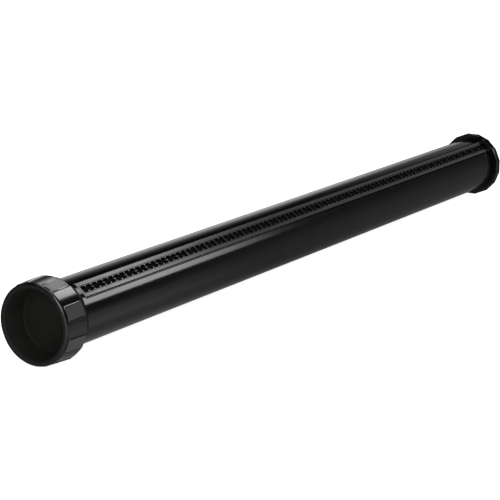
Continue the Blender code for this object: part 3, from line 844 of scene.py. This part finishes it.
def softbox(name, plane_x, radii, fade, levels, profile, receivers):
    """A soft light in a plane across the tube, shaped as a sector about its axis.

    Its brightness goes from the first to the second level between the two radii of fade, times
    the profile's share at each angle.
    """
    angles = (profile[0][0], profile[-1][0])
    bm = bmesh.new()
    rows = []
    for radius in radii:
        row = []
        for i in range(SOFTBOX_STEPS + 1):
            angle = math.radians(angles[0] + (angles[1] - angles[0]) * i / SOFTBOX_STEPS)
            row.append(bm.verts.new((0.0, -radius * math.cos(angle), radius * math.sin(angle))))
        rows.append(row)
    for i in range(SOFTBOX_STEPS):
        bm.faces.new((rows[0][i], rows[0][i + 1], rows[1][i + 1], rows[1][i]))
    box = mesh_object(name, bm, smooth=False)
    box.location = (plane_x, 0.0, AXIS_Z)
    material = bpy.data.materials.new(name + "_glow")
    material.use_nodes = True
    nodes = material.node_tree.nodes
    links = material.node_tree.links
    nodes.remove(nodes["Principled BSDF"])
    glow = nodes.new("ShaderNodeEmission")
    place = nodes.new("ShaderNodeTexCoord")
    length = nodes.new("ShaderNodeVectorMath")
    length.operation = "LENGTH"
    ramp = nodes.new("ShaderNodeMapRange")
    ramp.interpolation_type = "SMOOTHSTEP"
    for key, value in zip(("From Min", "From Max", "To Min", "To Max"), (*fade, *levels)):
        ramp.inputs[key].default_value = value
    links.new(place.outputs["Object"], length.inputs[0])
    links.new(length.outputs["Value"], ramp.inputs["Value"])
    around = nodes.new("ShaderNodeMath")
    around.operation = "ARCTAN2"
    split = nodes.new("ShaderNodeSeparateXYZ")
    links.new(place.outputs["Object"], split.inputs["Vector"])
    links.new(split.outputs["Y"], around.inputs[0])
    links.new(split.outputs["Z"], around.inputs[1])
    turn = nodes.new("ShaderNodeMapRange")
    turn.inputs["From Min"].default_value = math.radians(angles[0] - 90.0)
    turn.inputs["From Max"].default_value = math.radians(angles[1] - 90.0)
    links.new(around.outputs["Value"], turn.inputs["Value"])
    shares = nodes.new("ShaderNodeValToRGB")
    elements = shares.color_ramp.elements
    while len(elements) < len(profile):
        elements.new(1.0)
    for element, (angle, share) in zip(elements, profile):
        element.position = (angle - angles[0]) / (angles[1] - angles[0])
        element.color = (share, share, share, 1.0)
    links.new(turn.outputs["Result"], shares.inputs["Fac"])
    links.new(shares.outputs["Color"], glow.inputs["Color"])
    links.new(ramp.outputs["Result"], glow.inputs["Strength"])
    links.new(glow.outputs["Emission"], nodes["Material Output"].inputs["Surface"])
    box.data.materials.append(material)
    box.visible_camera = False
    box.visible_shadow = False
    light_only(box, receivers)


def light_only(light, pieces):
    """The light shines only on these pieces, as if flags kept it off the others."""
    group = bpy.data.collections.new(light.name + "_receivers")
    for piece in pieces:
        group.objects.link(piece)
    light.light_linking.receiver_collection = group


def sun_light(name, direction, strength, angle):
    light = bpy.data.lights.new(name, "SUN")
    light.energy = strength
    light.angle = math.radians(angle)
    obj = bpy.data.objects.new(name, light)
    bpy.context.scene.collection.objects.link(obj)
    obj.rotation_euler = (-Vector(direction)).to_track_quat("-Z", "Y").to_euler()


def world():
    """A soft room with a dark ceiling, brighter low down and to the left. The camera sees it white."""
    made = bpy.data.worlds.new("studio")
    made.use_nodes = True
    nodes = made.node_tree.nodes
    links = made.node_tree.links
    background = nodes["Background"]
    place = nodes.new("ShaderNodeTexCoord")
    split = nodes.new("ShaderNodeSeparateXYZ")
    links.new(place.outputs["Generated"], split.inputs["Vector"])
    height = nodes.new("ShaderNodeMapRange")
    height.inputs["From Min"].default_value = -1.0
    height.inputs["From Max"].default_value = 1.0
    links.new(split.outputs["Z"], height.inputs["Value"])

    def ramp(stops):
        node = nodes.new("ShaderNodeValToRGB")
        elements = node.color_ramp.elements
        while len(elements) < len(stops):
            elements.new(1.0)
        for element, (elevation, level) in zip(elements, stops):
            element.position = (math.sin(math.radians(elevation)) + 1) / 2
            element.color = (level, level, level, 1.0)
        links.new(height.outputs["Result"], node.inputs["Fac"])
        return node.outputs["Color"]

    def mixed(first, second, output, low, high):
        """Goes from the first colour to the second as a direction's part goes from low to high."""
        share = nodes.new("ShaderNodeMapRange")
        share.inputs["From Min"].default_value = low
        share.inputs["From Max"].default_value = high
        links.new(output, share.inputs["Value"])
        mix = nodes.new("ShaderNodeMix")
        mix.data_type = "RGBA"
        links.new(share.outputs["Result"], mix.inputs["Factor"])
        links.new(first, mix.inputs["A"])
        links.new(second, mix.inputs["B"])
        return mix.outputs["Result"]

    # Each stop is an elevation in degrees and a grey level.
    front = ramp([(-80, 0.17), (-36, 0.22), (-24, 0.53), (-8, 0.39), (0, 0.13), (5, 0.05),
                  (12, 0.03), (40, 0.02)])
    down_tube = ramp([(-80, 0.07), (-36, 0.08), (-24, 0.13), (-8, 0.14), (4, 0.1), (12, 0.06),
                      (40, 0.02)])
    back = ramp([(-80, 0.2), (-36, 0.26), (-16, 0.32), (0, 0.3), (6, 0.2), (12, 0.1), (18, 0.05),
                 (26, 0.02)])
    back_down_tube = ramp([(-80, 0.06), (-36, 0.08), (-16, 0.17), (0, 0.26), (6, 0.2), (12, 0.1),
                           (26, 0.03)])
    left = ramp([(-80, 0.5), (-30, 0.9), (0, 1.2), (30, 0.8), (60, 0.3)])
    beside = mixed(front, down_tube, split.outputs["X"], 0.76, 0.83)
    ahead = mixed(left, beside, split.outputs["X"], -0.6, -0.1)
    behind = mixed(back, back_down_tube, split.outputs["X"], 0.76, 0.83)
    room = mixed(ahead, behind, split.outputs["Y"], -0.2, 0.2)
    pale = nodes.new("ShaderNodeRGB")
    pale.outputs["Color"].default_value = (1.0, 1.0, 1.0, 1.0)
    seen = nodes.new("ShaderNodeLightPath")
    shown = mixed(room, pale.outputs["Color"], seen.outputs["Is Camera Ray"], 0.0, 1.0)
    links.new(shown, background.inputs["Color"])
    bpy.context.scene.world = made


def lights(cap, tube):
    """Soft overhead and front light, and shaped softboxes for the reflections on the glossy plastic.

    Each profile below gives an angle about the axis in degrees and the light's share there. The low
    softbox stands in front of the back one and hides that part of it.
    """
    far = SOFTBOX_PLANE
    sun_light("overhead_soft", (0.0, 0.0, 1.0), 0.8, 60.0)
    sun_light("front_soft", (-0.62, -0.5, 0.6), 1.8, 40.0)
    side = ((26.5, 0.0), (29.0, 1.0), (49.0, 1.0), (52.0, 0.0))
    rails = ((66.0, 0.0), (70.0, 1.0), (89.0, 1.0), (94.0, 0.0))
    back = ((114.0, 0.0), (126.0, 0.01), (132.0, 0.06), (138.0, 0.12), (144.0, 0.3),
            (150.0, 0.5), (156.0, 0.7), (163.0, 0.85), (170.0, 1.0), (176.0, 0.9),
            (184.0, 0.45), (192.0, 0.2), (200.0, 0.0))
    crown = ((60.0, 0.0), (65.0, 1.0), (116.0, 1.0), (126.0, 0.45), (137.0, 0.12),
             (145.0, 0.024), (154.0, 0.006), (162.0, 0.018), (170.0, 0.06), (180.0, 0.12))
    low_sky = ((106.0, 0.0), (114.0, 0.5), (120.0, 0.7), (132.0, 1.0), (141.0, 1.0))
    softbox("side_softbox", far, (0.25, 1.05), (0.42, 0.70), (0.05, 5.0), side, tube)
    softbox("top_softbox", far, (0.1, TUBE_LIGHT_R), (0.56, 0.80), (0.45, 5.6), rails, tube)
    softbox("back_softbox", far, (0.1, TUBE_LIGHT_R), (0.10, 0.45), (0.45, 0.9), back, tube)
    softbox("low_softbox", far - 0.005, (0.1, 0.4), (0.1, 0.4), (0.22, 0.02), low_sky, tube)
    softbox("cap_softbox", far, (CAP_LIGHT_R, 1.1), (0.83, 0.84), (8.0, 8.0), crown, cap)


def camera():
    """A long lens low in front of the cap. Its distance is in tube radii from the rim's centre."""
    data = bpy.data.cameras.new("camera")
    data.lens = 139.6
    data.sensor_width = 36.0
    data.clip_start = 0.05
    data.clip_end = 60.0
    obj = bpy.data.objects.new("camera", data)
    bpy.context.scene.collection.objects.link(obj)
    rim = Vector((X_NEAR, 0.0, AXIS_Z))
    obj.location = rim + Vector((-40.33, -33.30, 15.07)) * TUBE_R
    obj.rotation_euler = (math.radians(76.05), 0.0, math.radians(-57.1))
    bpy.context.scene.camera = obj


TUBE_PIECES = [
    outer_tube(),
    strip_frame(),
    rack_strip("rack_near", "rack_strip_near", RACK_NEAR),
    rack_strip("rack_far", "rack_strip_far", RACK_FAR),
    inner_tube(),
    far_flange(),
    *far_plug(),
    *hidden_rings(),
]
CAP_PIECES = [
    cap_grip(),
    cap_cup(),
    seal("cap_seal", "cap_seal_ring", "end_cap", SPIGOT_R, SEAL_STATION),
]
stage()
world()
lights(CAP_PIECES, TUBE_PIECES)
camera()
bpy.context.scene.view_settings.view_transform = "Standard"
